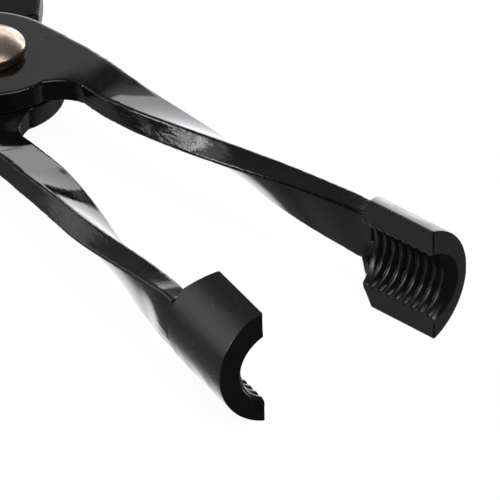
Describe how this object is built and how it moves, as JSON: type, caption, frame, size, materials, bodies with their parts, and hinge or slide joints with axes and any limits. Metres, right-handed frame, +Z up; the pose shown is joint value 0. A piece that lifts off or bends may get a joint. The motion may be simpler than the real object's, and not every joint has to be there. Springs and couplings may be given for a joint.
{
  "type": "valve seal pliers",
  "caption": "Hand pliers whose twisted arms carry half-round threaded jaws that close round a valve stem seal, on a riveted pivot with dipped grips.",
  "frame": {"origin": "centre of the pliers' box in plan, on the surface they lie on", "axes": "+X from the handles to the jaws along the middle line, +Z up along the pivot"},
  "size_m": [0.2618, 0.1086, 0.0237],
  "materials": {
    "lever_paint": "glossy black paint over forged steel",
    "jaw_paint": "glossy black paint over machined steel",
    "weld_paint": "glossy black paint over a weld bead",
    "rivet_metal": "bright nickel plate",
    "grip_vinyl": "smooth dipped vinyl, satin"
  },
  "bodies": {
    "lower_half": {"lower_lever": "lever_paint", "lower_jaw": "jaw_paint", "lower_jaw_weld": "weld_paint", "lower_grip": "grip_vinyl", "pivot_rivet": "rivet_metal"},
    "upper_half": {"upper_lever": "lever_paint", "upper_jaw": "jaw_paint", "upper_jaw_weld": "weld_paint", "upper_grip": "grip_vinyl"}
  },
  "joints": [
    {"name": "pivot", "type": "hinge", "parent": "lower_half", "child": "upper_half", "pos_m": [0.02243, 0, 0.01185], "axis": [0, 0, 1], "range_deg": [-20.1, 14]}
  ]
}
